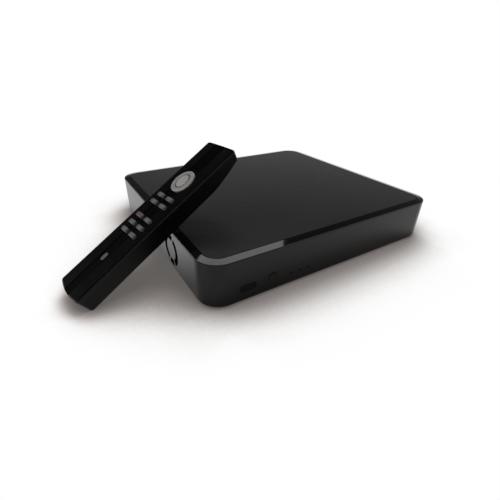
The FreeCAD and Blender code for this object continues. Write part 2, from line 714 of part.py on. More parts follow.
def make_rear_panel():
    panel = block(-REAR_HALF_W - REAR_LAP, REAR_HALF_W + REAR_LAP, REAR_PANEL_Y0, REAR_IN_Y,
                  REAR_Z0 - REAR_LAP, REAR_Z1 + REAR_LAP)
    y0 = REAR_PANEL_Y0 - OVERCUT
    y1 = REAR_IN_Y + OVERCUT
    cuts = []
    for x, width, height in ((JACK_X, JACK_W, JACK_H), (LAN_X, LAN_W, LAN_H),
                             (USB_X, USB_W, USB_H), (HDMI_X, HDMI_W, HDMI_H),
                             (OPTICAL_X, OPTICAL_SIZE, OPTICAL_SIZE)):
        half = width / 2 + SOCKET_CUT
        cuts.append(block(x - half, x + half, y0, y1, BOARD_Z1 - SOCKET_CUT,
                          BOARD_Z1 + height + SOCKET_CUT))
    for x in AV_XS:
        cuts.append(rod(AV_COLLAR_R + SOCKET_CUT, y1 - y0, Vector(x, y0, AV_Z), Y_AXIS))
    return panel.cut(cuts)


def make_dc_jack():
    body = block(JACK_X - JACK_W / 2, JACK_X + JACK_W / 2, SOCKET_Y1 - JACK_L, SOCKET_Y1,
                 BOARD_Z1, BOARD_Z1 + JACK_H)
    mouth = Vector(JACK_X, SOCKET_Y1 - JACK_DEPTH, BOARD_Z1 + JACK_H / 2)
    bore = rod(JACK_BORE_R, JACK_DEPTH + OVERCUT, mouth, Y_AXIS)
    pin = rod(JACK_PIN_R, JACK_DEPTH - OVERCUT, mouth, Y_AXIS)
    return fuse([body.cut(bore), pin])


def make_ethernet_socket():
    body = block(LAN_X - LAN_W / 2, LAN_X + LAN_W / 2, SOCKET_Y1 - LAN_L, SOCKET_Y1,
                 BOARD_Z1, BOARD_Z1 + LAN_H)
    z0 = BOARD_Z1 + LAN_MOUTH_RISE
    mouth = block(LAN_X - LAN_MOUTH_W / 2, LAN_X + LAN_MOUTH_W / 2, SOCKET_Y1 - LAN_DEPTH,
                  SOCKET_Y1 + OVERCUT, z0, z0 + LAN_MOUTH_H)
    clip = block(LAN_X - LAN_MOUTH_W / 4, LAN_X + LAN_MOUTH_W / 4, SOCKET_Y1 - LAN_DEPTH,
                 SOCKET_Y1 + OVERCUT, BOARD_Z1 + LAN_MOUTH_RISE / 2, z0 + OVERCUT)
    return body.cut([mouth, clip])


def make_usb_ports():
    body = block(USB_X - USB_W / 2, USB_X + USB_W / 2, SOCKET_Y1 - USB_L, SOCKET_Y1,
                 BOARD_Z1, BOARD_Z1 + USB_H)
    middle = BOARD_Z1 + USB_H / 2
    tongues = []
    for z in (middle - USB_PITCH / 2, middle + USB_PITCH / 2):
        body = body.cut(block(USB_X - USB_MOUTH_W / 2, USB_X + USB_MOUTH_W / 2,
                              SOCKET_Y1 - USB_DEPTH, SOCKET_Y1 + OVERCUT,
                              z - USB_MOUTH_H / 2, z + USB_MOUTH_H / 2))
        tongues.append(block(USB_X - USB_MOUTH_W / 2 + OVERCUT, USB_X + USB_MOUTH_W / 2 - OVERCUT,
                             SOCKET_Y1 - USB_DEPTH, SOCKET_Y1 - OVERCUT,
                             z + USB_MOUTH_H / 2 - USB_TONGUE_T - HDMI_WALL,
                             z + USB_MOUTH_H / 2 - HDMI_WALL))
    return fuse([body] + tongues)


def make_hdmi_socket():
    body = block(HDMI_X - HDMI_W / 2, HDMI_X + HDMI_W / 2, SOCKET_Y1 - HDMI_L, SOCKET_Y1,
                 BOARD_Z1, BOARD_Z1 + HDMI_H)
    half = HDMI_W / 2 - HDMI_WALL
    z0 = BOARD_Z1 + HDMI_WALL
    z1 = BOARD_Z1 + HDMI_H - HDMI_WALL
    outline = [(-half, z1), (half, z1), (half, z0 + HDMI_CHAMFER), (half - HDMI_CHAMFER, z0),
               (HDMI_CHAMFER - half, z0), (-half, z0 + HDMI_CHAMFER), (-half, z1)]
    rim = Part.makePolygon([Vector(HDMI_X + x, SOCKET_Y1 - HDMI_DEPTH, z) for x, z in outline])
    mouth = Part.Face(rim).extrude(Vector(0, HDMI_DEPTH + OVERCUT, 0))
    middle = (z0 + z1) / 2
    tongue = block(HDMI_X - half + HDMI_CHAMFER, HDMI_X + half - HDMI_CHAMFER,
                   SOCKET_Y1 - HDMI_DEPTH, SOCKET_Y1 - OVERCUT,
                   middle - HDMI_TONGUE_T / 2, middle + HDMI_TONGUE_T / 2)
    return fuse([body.cut(mouth), tongue])


def make_optical_socket():
    half = OPTICAL_SIZE / 2
    body = block(OPTICAL_X - half, OPTICAL_X + half, SOCKET_Y1 - OPTICAL_L, SOCKET_Y1,
                 BOARD_Z1, BOARD_Z1 + OPTICAL_SIZE)
    mouth = OPTICAL_MOUTH / 2
    recess = block(OPTICAL_X - mouth, OPTICAL_X + mouth, SOCKET_Y1 - OPTICAL_DEPTH,
                   SOCKET_Y1 + OVERCUT, BOARD_Z1 + half - mouth, BOARD_Z1 + half + mouth)
    return body.cut(recess)


def make_av_jacks():
    jacks = []
    for x in AV_XS:
        body = block(x - AV_BLOCK_W / 2, x + AV_BLOCK_W / 2, REAR_PANEL_Y0 - SOCKET_CUT - AV_BLOCK_L,
                     REAR_PANEL_Y0 - SOCKET_CUT, BOARD_Z1, BOARD_Z1 + AV_BLOCK_H)
        base = Vector(x, REAR_PANEL_Y0 - SOCKET_CUT, AV_Z)
        tip_y = REAR_Y + AV_PROUD
        barrel = rod(AV_R, tip_y - base.y, base, Y_AXIS)
        collar = rod(AV_COLLAR_R, REAR_IN_Y + AV_COLLAR_T - base.y, base, Y_AXIS)
        bore = rod(AV_BORE_R, AV_DEPTH + OVERCUT, Vector(x, tip_y - AV_DEPTH, AV_Z), Y_AXIS)
        jacks.append(fuse([body, barrel, collar]).cut(bore))
    return Part.makeCompound(jacks)


# ---------------------------------------------------------------- drive bay

def make_drive_cage():
    inner = CAGE_IN_HALF
    outer = CAGE_HALF_W
    x0 = BACKPLANE_X0
    top = CAGE_Z0 + CAGE_T + CAGE_WALL_H
    parts = [block(x0, CAGE_X1, TRAY_Y - outer, TRAY_Y + outer, CAGE_Z0, CAGE_Z0 + CAGE_T)]
    for side in (-1, 1):
        y = sorted((TRAY_Y + side * inner, TRAY_Y + side * outer))
        parts.append(block(x0, CAGE_X1, y[0], y[1], CAGE_Z0, top))
        y = sorted((TRAY_Y + side * inner, TRAY_Y + side * (outer + CAGE_FLANGE)))
        parts.append(block(x0, CAGE_X1, y[0], y[1], top - CAGE_T, top))
    return fuse(parts)


def plug_place():
    """Lowest corner in Y and Z of the drive's plug."""
    return (TRAY_Y + PLUG_Y - PLUG_W / 2, DRIVE_Z0 + PLUG_RISE)


def make_backplane_board():
    z0 = CAGE_Z0 + CAGE_T
    return block(BACKPLANE_X0, BACKPLANE_X1, TRAY_Y - CAGE_IN_HALF, TRAY_Y + CAGE_IN_HALF,
                 z0, z0 + BACKPLANE_H)


def make_sata_socket():
    y, z = plug_place()
    x1 = DRIVE_X0 - RUN_GAP
    shell = block(BACKPLANE_X1, x1, y - SOCKET_WALL - SOCKET_GAP, y + PLUG_W + SOCKET_WALL + SOCKET_GAP,
                  z - SOCKET_WALL - SOCKET_GAP, z + PLUG_T + SOCKET_WALL + SOCKET_GAP)
    slot = block(DRIVE_X0 - PLUG_L - RUN_GAP, x1 + OVERCUT, y - SOCKET_GAP, y + PLUG_W + SOCKET_GAP,
                 z - SOCKET_GAP, z + PLUG_T + SOCKET_GAP)
    return shell.cut(slot)


def make_tray_sled():
    inner = SLED_HALF_W - SLED_WALL
    sled = [block(SLED_X0, PANEL_X0, TRAY_Y - SLED_HALF_W, TRAY_Y + SLED_HALF_W, SLED_Z0, SLED_Z1)]
    for side in (-1, 1):
        y = sorted((TRAY_Y + side * inner, TRAY_Y + side * SLED_HALF_W))
        sled.append(block(SLED_X0, PANEL_X0, y[0], y[1], SLED_Z0, SLED_Z1 + SLED_WALL_H))
    sled = fuse(sled)
    window_in = DRIVE_SCREW_HEAD_R * 4
    cuts = [rounded_block(DRIVE_X0 + DRIVE_HOLE_X[1] + window_in, DRIVE_X1 - window_in,
                          TRAY_Y - inner + window_in, TRAY_Y + inner - window_in,
                          SLED_Z0 - OVERCUT, SLED_Z1 + OVERCUT, window_in / 2)]
    for x, y in drive_holes():
        cuts.append(rod(DRIVE_SCREW_R + SCREW_GAP, SLED_FLOOR + 2 * OVERCUT,
                        Vector(x, y, SLED_Z0 - OVERCUT), Z_AXIS))
        cuts.append(rod(DRIVE_SCREW_HEAD_R + FOOT_GAP, DRIVE_SCREW_HEAD_T + SCREW_SINK + OVERCUT,
                        Vector(x, y, SLED_Z0 - OVERCUT), Z_AXIS))
    return sled.cut(cuts)


def drive_holes():
    """Places of the screws in the drive's underside."""
    half = DRIVE_W / 2 - DRIVE_HOLE_IN
    return [(DRIVE_X0 + x, TRAY_Y + side * half) for x in DRIVE_HOLE_X for side in (-1, 1)]


def make_drive_screws():
    screws = []
    z0 = SLED_Z0 + SCREW_SINK
    for x, y in drive_holes():
        head = rod(DRIVE_SCREW_HEAD_R, DRIVE_SCREW_HEAD_T, Vector(x, y, z0), Z_AXIS)
        shank = rod(DRIVE_SCREW_R, SLED_Z1 - z0 + DRIVE_SCREW_L, Vector(x, y, z0), Z_AXIS)
        screws.append(fuse([head, shank]))
    return Part.makeCompound(screws)


def make_drive_casting():
    casting = rounded_block(DRIVE_X0, DRIVE_X1, TRAY_Y - DRIVE_W / 2, TRAY_Y + DRIVE_W / 2,
                            DRIVE_Z0, DRIVE_Z1 - DRIVE_LID_T, DRIVE_LID_IN)
    pocket_half = DRIVE_BOARD_HALF + DRIVE_BOARD_GAP
    pocket = block(DRIVE_X0 - OVERCUT, DRIVE_X1 - window_margin(), TRAY_Y - pocket_half,
                   TRAY_Y + pocket_half, DRIVE_Z0 - OVERCUT, DRIVE_Z0 + plug_room())
    bores = [rod(DRIVE_SCREW_R + SCREW_GAP, DRIVE_SCREW_L + 2 * OVERCUT,
                 Vector(x, y, DRIVE_Z0 - OVERCUT), Z_AXIS) for x, y in drive_holes()]
    return casting.cut([pocket] + bores)


def window_margin():
    """Solid rim of the casting at the end away from the plug."""
    return DRIVE_LID_IN * 4


def plug_room():
    """Height of the pocket under the casting, for the board and the plug on it."""
    return PLUG_RISE + PLUG_T + DRIVE_BOARD_GAP


def make_drive_board():
    y, z = plug_place()
    board = block(DRIVE_X0, DRIVE_X1 - window_margin() - DRIVE_BOARD_GAP,
                  TRAY_Y - DRIVE_BOARD_HALF, TRAY_Y + DRIVE_BOARD_HALF,
                  DRIVE_Z0 + DRIVE_BOARD_GAP, DRIVE_Z0 + DRIVE_BOARD_GAP + DRIVE_BOARD_T)
    holder = block(DRIVE_X0, DRIVE_X0 + 2 * PLUG_L, y, y + PLUG_W, DRIVE_Z0 + DRIVE_BOARD_GAP,
                   z + PLUG_T)
    plug = block(DRIVE_X0 - PLUG_L, DRIVE_X0, y, y + PLUG_W, z, z + PLUG_T)
    return fuse([board, holder, plug])


def make_drive_lid():
    z0 = DRIVE_Z1 - DRIVE_LID_T
    lid = rounded_block(DRIVE_X0 + DRIVE_LID_IN, DRIVE_X1 - DRIVE_LID_IN,
                        TRAY_Y - DRIVE_W / 2 + DRIVE_LID_IN, TRAY_Y + DRIVE_W / 2 - DRIVE_LID_IN,
                        z0, DRIVE_Z1 - DRIVE_HUB_T, DRIVE_LID_IN * 2)
    hub = rod(DRIVE_HUB_R, DRIVE_LID_T, Vector(DRIVE_X0 + DRIVE_HUB_X, TRAY_Y, z0), Z_AXIS)
    return fuse([lid, hub])


def lever_pocket_y():
    """Where the pocket for the lever begins and ends along Y."""
    return (LEVER_Y0 - LEVER_GAP, LEVER_Y0 + LEVER_L + LEVER_NOTCH)


def make_tray_front():
    panel = block(PANEL_X0, RIGHT_X, TRAY_Y - PANEL_HALF_W, TRAY_Y + PANEL_HALF_W,
                  PANEL_Z0, PANEL_Z1)
    rim = [edge for edge in panel.Edges if edge.BoundBox.XMin > RIGHT_X - PANEL_EDGE_R]
    panel = panel.makeFillet(PANEL_EDGE_R, rim)
    y0, y1 = lever_pocket_y()
    half = LEVER_H / 2 + LEVER_GAP
    pocket_x = RIGHT_X - LEVER_REST - LEVER_T - LEVER_GAP
    pocket = block(pocket_x, RIGHT_X + OVERCUT, y0, y1, LEVER_Z - half, LEVER_Z + half)
    pin = rod(LEVER_PIN_R, 2 * (half + LEVER_PIN_SEAT),
              Vector(LEVER_X, LEVER_PIVOT_Y, LEVER_Z - half - LEVER_PIN_SEAT), Z_AXIS)
    return panel.cut([pocket, pin])


def make_lever_pin():
    half = LEVER_H / 2 + LEVER_GAP + LEVER_PIN_SEAT
    return rod(LEVER_PIN_R, 2 * half, Vector(LEVER_X, LEVER_PIVOT_Y, LEVER_Z - half), Z_AXIS)


def make_eject_lever():
    half_t = LEVER_T / 2
    z0 = LEVER_Z - LEVER_H / 2
    bar = block(LEVER_X - half_t, LEVER_X + half_t, LEVER_PIVOT_Y, LEVER_Y0 + LEVER_L,
                z0, z0 + LEVER_H)
    eye = rod(half_t, LEVER_H, Vector(LEVER_X, LEVER_PIVOT_Y, z0), Z_AXIS)
    bore = rod(LEVER_PIN_R + LEVER_PIN_GAP, LEVER_H + 2 * OVERCUT,
               Vector(LEVER_X, LEVER_PIVOT_Y, z0 - OVERCUT), Z_AXIS)
    grip = rod(half_t, LEVER_H + 2 * OVERCUT,
               Vector(LEVER_X + half_t + LEVER_T / 4, LEVER_Y0 + LEVER_L - LEVER_T, z0 - OVERCUT), Z_AXIS)
    return fuse([bar, eye]).cut([bore, grip])


# ---------------------------------------------------------------- remote, in its own frame

def set_outline(inset, z):
    """Plan of the remote at a level, its side walls leaning in below the face."""
    x0 = inset
    x1 = SET_L - inset
    half = SET_W / 2 - inset + z * tan(radians(SET_LEAN))
    foot = Part.Arc(Vector(x0, half, z), Vector(x0 - SET_FOOT_BULGE, 0, z), Vector(x0, -half, z))
    top = Part.Arc(Vector(x1, -half, z), Vector(x1 + SET_TOP_BULGE, 0, z), Vector(x1, half, z))
    right = Part.LineSegment(Vector(x0, -half, z), Vector(x1, -half, z))
    left = Part.LineSegment(Vector(x1, half, z), Vector(x0, half, z))
    return Part.Wire([piece.toShape() for piece in (foot, right, top, left)])


def set_side(inset, face_z):
    """Solid with the remote's side view: flat face, round heel and curved back."""
    x0 = inset - SET_FOOT_BULGE
    x1 = SET_L + 2 * SET_TOP_BULGE + OVERCUT
    slope = (SET_T_NECK - SET_T_TOP) / (1 - SET_NECK_AT) / SET_L
    depths = [(x0, SET_T_FOOT), (SET_L / 2, SET_T_MID), (SET_L * SET_DEEP_AT, SET_T_DEEP),
              (SET_L * SET_NECK_AT, SET_T_NECK), (x1, SET_T_TOP - slope * (x1 - SET_L))]
    foot, middle, deep, neck, top = [Vector(x, -SET_W, inset - depth) for x, depth in depths]
    rim = [Part.makeLine(foot, middle),
           Part.makeLine(middle, deep),
           Part.Arc(deep, neck, top).toShape(),
           Part.makeLine(top, Vector(x1, -SET_W, face_z)),
           Part.makeLine(Vector(x1, -SET_W, face_z), Vector(x0, -SET_W, face_z)),
           Part.makeLine(Vector(x0, -SET_W, face_z), foot)]
    side = Part.Face(Part.Wire(rim)).extrude(Vector(0, 2 * SET_W, 0))
    return soften(side, SET_HEEL_R - inset,
                  lambda edge: edge.BoundBox.XMax < x0 + OVERCUT and edge.BoundBox.ZMax < face_z - OVERCUT)


def set_back(inset):
    """Bar that rounds the two long edges of the remote's back."""
    depth = SET_T_DEEP - inset
    high = SET_W / 2 - inset + SET_BACK_OUT
    low = high - depth * tan(radians(SET_LEAN))
    x = -SET_W
    rim = Part.makePolygon([Vector(x, -high, OVERCUT), Vector(x, -low, -depth), Vector(x, low, -depth),
                            Vector(x, high, OVERCUT), Vector(x, -high, OVERCUT)])
    bar = Part.Face(rim).extrude(Vector(SET_L + 2 * SET_W, 0, 0))
    return soften(bar, SET_BACK_R - inset, lambda edge: edge.BoundBox.ZMax < -depth / 2)


def set_hull(inset, face_z):
    """The remote's whole form, moved in by a wall thickness, with its face at a level."""
    form = Part.makeLoft([set_outline(inset, 0), set_outline(inset, -2 * SET_T_DEEP)], True, True)
    form = soften(form, max(SET_CORNER_R - inset, OVERCUT / 2),
                  lambda edge: edge.BoundBox.ZLength > SET_T_DEEP and edge.BoundBox.XLength < SET_W)
    return form.common(set_side(inset, face_z)).common(set_back(inset))


def soften(solid, radius, wanted):
    """Round the edges that a test picks."""
    return solid.makeFillet(radius, [edge for edge in solid.Edges if wanted(edge)])


def make_set_body():
    """Outer form, with the rim of its face rounded."""
    return soften(set_hull(0, 0), SET_FACE_R, lambda edge: edge.BoundBox.ZMin > -SET_FACE_R)


def slab(z0, z1):
    """Everything of the remote between two levels."""
    reach = SET_W
    return block(-reach, SET_L + reach, -reach, reach, z0, z1)


def strip_prism(grow, z0, z1):
    """Strip along the key face, wider at the top end and round the navigation ring."""
    x0 = -2 * SET_FOOT_BULGE
    x1 = SET_L + 2 * SET_TOP_BULGE
    rate = (STRIP_W_TOP - STRIP_W_FOOT) / SET_L / 2
    foot = STRIP_W_FOOT / 2 + rate * x0 + grow
    top = STRIP_W_FOOT / 2 + rate * x1 + grow
    rim = Part.makePolygon([Vector(x0, -foot, z0), Vector(x1, -top, z0), Vector(x1, top, z0),
                            Vector(x0, foot, z0), Vector(x0, -foot, z0)])
    wedge = Part.Face(rim).extrude(Vector(0, 0, z1 - z0))
    return wedge.fuse(oval(NAV_L, NAV_W, STRIP_OVAL + grow, z0, z1))


def oval(length, width, grow, z0, z1):
    """Upright oval bar at the middle of the navigation keys."""
    curve = Part.Ellipse(Vector(NAV_S, 0, z0), length / 2 + grow, width / 2 + grow)
    return Part.Face(Part.Wire([curve.toShape()])).extrude(Vector(0, 0, z1 - z0))


def key_places():
    """Middle of each key on the face, row by row, the left one first."""
    return [(s, side * KEY_COL) for s in KEY_ROWS for side in (1, -1)]


def key_block(s, y, grow, z0, z1):
    """Round-cornered bar of a key's plan."""
    half_l = KEY_L / 2 + grow
    half_w = KEY_W / 2 + grow
    return rounded_block(s - half_l, s + half_l, y - half_w, y + half_w, z0, z1, KEY_R + grow)


def badge_pill(grow, z0, z1):
    """Round-ended bar of the bare badge's plan."""
    half_l = BADGE_L / 2 + grow
    half_w = BADGE_W / 2 + grow
    return rounded_block(BADGE_S - half_l, BADGE_S + half_l, -half_w, half_w, z0, z1, half_w)


def face_cuts():
    """Holes that the keys and the navigation ring pass through."""
    z0 = -SET_FACE_T - OVERCUT
    cuts = [key_block(s, y, KEY_GAP, z0, OVERCUT) for s, y in key_places()]
    cuts.append(oval(NAV_L, NAV_W, KEY_GAP, z0, OVERCUT))
    return cuts


def lens_box(grow):
    """Space of the dark cap at the top end, which lets the infrared light out."""
    return block(SET_L - LENS_L - grow, SET_L + SET_W, -SET_W, SET_W, -2 * SET_T_DEEP, OVERCUT)


def set_cavity():
    return set_hull(SET_WALL, -SET_FACE_T)


def make_remote_top_shell(body):
    shell = body.common(slab(-SET_SPLIT, OVERCUT)).cut(set_cavity())
    groove = strip_prism(STRIP_GAP, -STRIP_SINK - STRIP_T, OVERCUT)
    return shell.cut([groove, lens_box(STRIP_GAP)] + face_cuts())


def make_face_strip(body):
    strip = body.common(strip_prism(0, -STRIP_SINK - STRIP_T, -STRIP_SINK))
    seat = badge_pill(STRIP_GAP, badge_floor(), OVERCUT)
    return strip.cut(face_cuts() + [seat, lens_box(STRIP_GAP)])


def badge_floor():
    """Level of the badge's underside, in the strip."""
    return BADGE_PROUD - STRIP_SINK - BADGE_T


def make_badge():
    return badge_pill(0, badge_floor(), badge_floor() + BADGE_T)


def door_box(grow):
    """Space of the battery door in the back."""
    return block(DOOR_S0 - grow, DOOR_S1 + grow, -DOOR_HALF_W - grow, DOOR_HALF_W + grow,
                 -2 * SET_T_DEEP, -CELL_TOP - CELL_R)


def make_remote_bottom_shell(body):
    cavity = set_cavity()
    shell = body.common(slab(-2 * SET_T_DEEP, -SET_SPLIT - SET_SPLIT_GAP)).cut(cavity)
    shell = shell.cut([door_box(DOOR_GAP), lens_box(STRIP_GAP)])
    walls = []
    for s in bulkhead_places():
        walls.append(cavity.common(block(s, s + BULKHEAD_T, -SET_W, SET_W,
                                         -2 * SET_T_DEEP, -SET_SPLIT - SET_SPLIT_GAP)))
    for s in RIB_S:
        walls.append(cavity.common(block(s, s + RIB_T, -SET_W, SET_W,
                                         -2 * SET_T_DEEP, set_board_z0())))
    return fuse([shell] + walls)


def make_battery_door(body):
    return body.common(door_box(0)).cut(set_cavity())


def key_floor():
    """Underside of every key at rest."""
    return -SET_FACE_T - KEY_SINK - KEY_LIP_T


def mat_top():
    return key_floor() - KEY_TRAVEL - MAT_GAP


def set_board_z0():
    return mat_top() - MAT_T - SET_BOARD_T


def set_board_half():
    return SET_W / 2 - SET_WALL - SET_BOARD_IN


def make_key(s, y):
    cap = key_block(s, y, 0, key_floor(), KEY_PROUD)
    cap = soften(cap, KEY_DOME_R, lambda edge: edge.BoundBox.ZMin > KEY_PROUD - KEY_DOME_R)
    return fuse([cap, key_block(s, y, KEY_LIP + KEY_GAP, key_floor(), key_floor() + KEY_LIP_T)])


def make_nav_ring():
    ring = oval(NAV_L, NAV_W, 0, key_floor(), NAV_PROUD)
    ring = soften(ring, NAV_EDGE_R, lambda edge: edge.BoundBox.ZMin > NAV_PROUD - NAV_EDGE_R)
    return ring.cut(oval(OK_L, OK_W, OK_GAP, key_floor() - OVERCUT, NAV_PROUD + OVERCUT))


def make_ok_key():
    key = oval(OK_L, OK_W, 0, key_floor(), OK_PROUD)
    return soften(key, NAV_EDGE_R, lambda edge: edge.BoundBox.ZMin > OK_PROUD - NAV_EDGE_R)


def make_key_mat():
    half = set_board_half()
    return rounded_block(SET_BOARD_S0, SET_BOARD_S1, -half, half, mat_top() - MAT_T, mat_top(),
                         SET_BOARD_IN)


def make_remote_board():
    half = set_board_half()
    return block(SET_BOARD_S0, SET_BOARD_S1, -half, half, set_board_z0(), set_board_z0() + SET_BOARD_T)


def cell_places():
    """Middle of each battery cell across the remote."""
    return [side * (CELL_R + CELL_GAP / 2) for side in (-1, 1)]


def make_batteries():
    z = -CELL_TOP - CELL_R
    cells = []
    for y in cell_places():
        can = rod(CELL_R, CELL_L - CELL_NIP_L, Vector(CELL_S0, y, z), X_AXIS)
        nip = rod(CELL_NIP_R, CELL_NIP_L, Vector(CELL_S0 + CELL_L - CELL_NIP_L, y, z), X_AXIS)
        cell = fuse([can, nip])
        if y < 0:
            cell.rotate(Vector(CELL_S0 + CELL_L / 2, y, z), Z_AXIS, 180)
        cells.append(cell)
    return Part.makeCompound(cells)


def contact_places():
    """Foot-side face of the two rows of battery contacts."""
    return (CELL_S0 - CONTACT_GAP - CONTACT_T, CELL_S0 + CELL_L + CONTACT_GAP)


def bulkhead_places():
    """Foot-side face of the two walls that carry the contacts."""
    first, last = contact_places()
    return (first - BULKHEAD_T, last + CONTACT_T)


def make_battery_contacts():
    plates = []
    z = -CELL_TOP - CELL_R
    for s in contact_places():
        for y in cell_places():
            half = CELL_R - CONTACT_IN / 2
            plates.append(block(s, s + CONTACT_T, y - half, y + half,
                                z - CELL_R + CONTACT_IN, z + CELL_R - CONTACT_IN))
    return Part.makeCompound(plates)


def make_remote_lens(body):
    plug = set_hull(SET_WALL + STRIP_GAP, -SET_FACE_T - STRIP_GAP)
    reach = slab(-2 * SET_T_DEEP, OVERCUT).cut(lens_box(LENS_PLUG_L))
    return fuse([body.common(lens_box(0)), plug.cut(reach)])


# ---------------------------------------------------------------- where the remote stands

def lean_in(body):
    """Stand the remote on its foot and push it in until it leans on the case."""
    turn = FreeCAD.Rotation(Z_AXIS, SET_YAW).multiply(FreeCAD.Rotation(Y_AXIS, -SET_PITCH))
    start = Vector(-LEAN_START, SET_FOOT_Y, 0)
    case = case_slab(0, UNDER_GAP, CASE_H - BEVEL_DROP)
    stood = body.copy()
    stood.Placement = FreeCAD.Placement(start, turn)
    lift = -stood.optimalBoundingBox(False, False).ZMin
    stood.translate(Vector(0, 0, lift))
    pushed = 0.0
    for _ in range(LEAN_STEPS):
        step = stood.distToShape(case)[0] - LEAN_GAP
        stood.translate(Vector(step, 0, 0))
        pushed += step
    return FreeCAD.Placement(start + Vector(pushed, 0, lift), turn)


# ---------------------------------------------------------------- all pieces

def player_pieces():
    return {
        "side_shell": make_side_shell(),
        "bottom_pan": make_bottom_pan(),
        "trim_ring": make_trim_ring(),
        "top_plate": make_top_plate(),
        "feet": make_feet(),
        "case_screws": make_case_screws(),
        "ir_window": make_ir_window(),
        "ir_receiver": make_ir_receiver(),
        "indicator_lights": make_indicator_lights(),
        "power_button": make_power_button(),
        "power_switch": make_power_switch(),
        "front_board": make_front_board(),
        "fan_frame": make_fan_frame(),
        "fan_rotor": make_fan_rotor(),
        "main_board": make_main_board(),
        "processor": make_processor(),
        "heat_sink": make_heat_sink(),
        "capacitors": make_capacitors(),
        "rear_panel": make_rear_panel(),
        "dc_jack": make_dc_jack(),
        "ethernet_socket": make_ethernet_socket(),
        "usb_ports": make_usb_ports(),
        "hdmi_socket": make_hdmi_socket(),
        "optical_socket": make_optical_socket(),
        "av_jacks": make_av_jacks(),
        "drive_cage": make_drive_cage(),
        "backplane_board": make_backplane_board(),
        "sata_socket": make_sata_socket(),
        "tray_sled": make_tray_sled(),
        "tray_front": make_tray_front(),
        "lever_pin": make_lever_pin(),
        "eject_lever": make_eject_lever(),
        "drive_casting": make_drive_casting(),
        "drive_lid": make_drive_lid(),
        "drive_board": make_drive_board(),
        "drive_screws": make_drive_screws(),
    }


def remote_pieces(body):
    pieces = {
        "remote_top_shell": make_remote_top_shell(body),
        "remote_bottom_shell": make_remote_bottom_shell(body),
        "remote_face_strip": make_face_strip(body),
        "remote_lens": make_remote_lens(body),
        "remote_badge": make_badge(),
        "remote_key_mat": make_key_mat(),
        "remote_board": make_remote_board(),
        "remote_batteries": make_batteries(),
        "remote_battery_contacts": make_battery_contacts(),
        "remote_battery_door": make_battery_door(body),
        "remote_nav_ring": make_nav_ring(),
        "remote_ok_key": make_ok_key(),
    }
    for number, (s, y) in enumerate(key_places(), 1):
        pieces["remote_key_%02d" % number] = make_key(s, y)
    return pieces


def main():
    os.makedirs("parts", exist_ok=True)
    pieces = player_pieces()
    body = make_set_body()
    stand = lean_in(body)
    for name, shape in remote_pieces(body).items():
        shape.Placement = stand.multiply(shape.Placement)
        pieces[name] = shape
    first_foot = Vector(CASE_W / 2 - FOOT_IN, CASE_D / 2 - FOOT_IN, 0)
    for name, shape in pieces.items():
        shape.translate(first_foot)
        shape.exportStep("parts/" + name + ".step")
        print("%-26s solids %d  volume %10.1f  valid %s"
              % (name, len(shape.Solids), shape.Volume, shape.isValid()))
    print("remote stands at", stand.Base, "turned", stand.Rotation.getYawPitchRoll())


main()
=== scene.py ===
import bpy
import json
from math import radians
from mathutils import Matrix, Vector


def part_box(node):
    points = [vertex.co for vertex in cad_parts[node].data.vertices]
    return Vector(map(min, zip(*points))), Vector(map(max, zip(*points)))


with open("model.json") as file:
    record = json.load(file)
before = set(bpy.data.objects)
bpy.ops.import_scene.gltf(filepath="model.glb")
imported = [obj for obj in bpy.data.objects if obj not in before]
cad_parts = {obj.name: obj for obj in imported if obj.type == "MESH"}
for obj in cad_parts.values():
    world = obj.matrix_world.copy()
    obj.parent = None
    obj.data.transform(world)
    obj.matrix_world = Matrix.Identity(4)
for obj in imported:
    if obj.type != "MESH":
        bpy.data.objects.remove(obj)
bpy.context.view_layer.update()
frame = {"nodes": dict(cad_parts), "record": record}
NODES = frame["nodes"]

# Lengths are in metres, the scale of a noise is per metre, and a pair is a low and a high value.

# The photograph's camera, worked out from the case's outline: its place, and its angles in degrees
CAMERA_AT = (-0.109781, -0.210612, 0.175380)
CAMERA_RIGHTWARD = 32.6313
CAMERA_DOWNWARD = 31.0877
CAMERA_ROLL = 1.3575
LENS_MM = 23.51
SENSOR_MM = 36.0
CLIP = (0.01, 50.0)

# The floor: a square, its painted shadow by how much sky a place sees, and where it turns plain
# white
FLOOR_REACH = 6.0
FLOOR_GREY = 0.85
SHADOW_REACH = 0.10
SKY_SAMPLES = 16
SHADOW_STOPS = ((0.40, 0.12, 0.11, 0.105), (0.61, 0.24, 0.22, 0.21), (0.70, 0.37, 0.345, 0.335),
                (0.79, 0.60, 0.575, 0.56), (0.86, 0.88, 0.87, 0.865), (0.90, 1.0))
FADE = (0.45, 0.90)

# Painted light: a patch of floor left of the case is made paler for glossy rays only, so the left
# side mirrors more light: from places to shares, across and then along
LEFT_GLOW = ((-0.155, -0.125), (1.0, 0.0))
LEFT_RISE = ((-0.080, -0.020), (0.28, 1.0))

# What glossy surfaces see of the world, by height, side and front, and what lights the rest
SKY_STOPS = ((0.0, 1.0), (0.06, 0.9), (0.16, 0.30), (0.30, 0.15), (0.55, 0.06), (1.0, 0.03))
SKY_SIDE_STOPS = ((0.10, 1.0), (0.18, 0.15), (0.51, 0.15), (0.65, 0.33), (1.0, 0.33))
SKY_FRONT = ((-0.35, 0.0), (1.0, 0.0))
SKY_GAIN = 3.0
WORLD_LIGHT = 0.70

# The lamps look at this height above the floor, in the middle of the case
LAMP_AIM = 0.03

# Half a key along and across the remote control, the bow of its top, and half the dish in the ring
KEY_HALF = (0.00215, 0.0059)
KEY_BOW = 0.00015
DISH_HALF = (0.0067, 0.0053)
# painted shade that darkens the ring towards the dish
DISH_EDGE = ((1.0, 1.9), (0.85, 0.0))     # from its edge outwards, and how dark it is
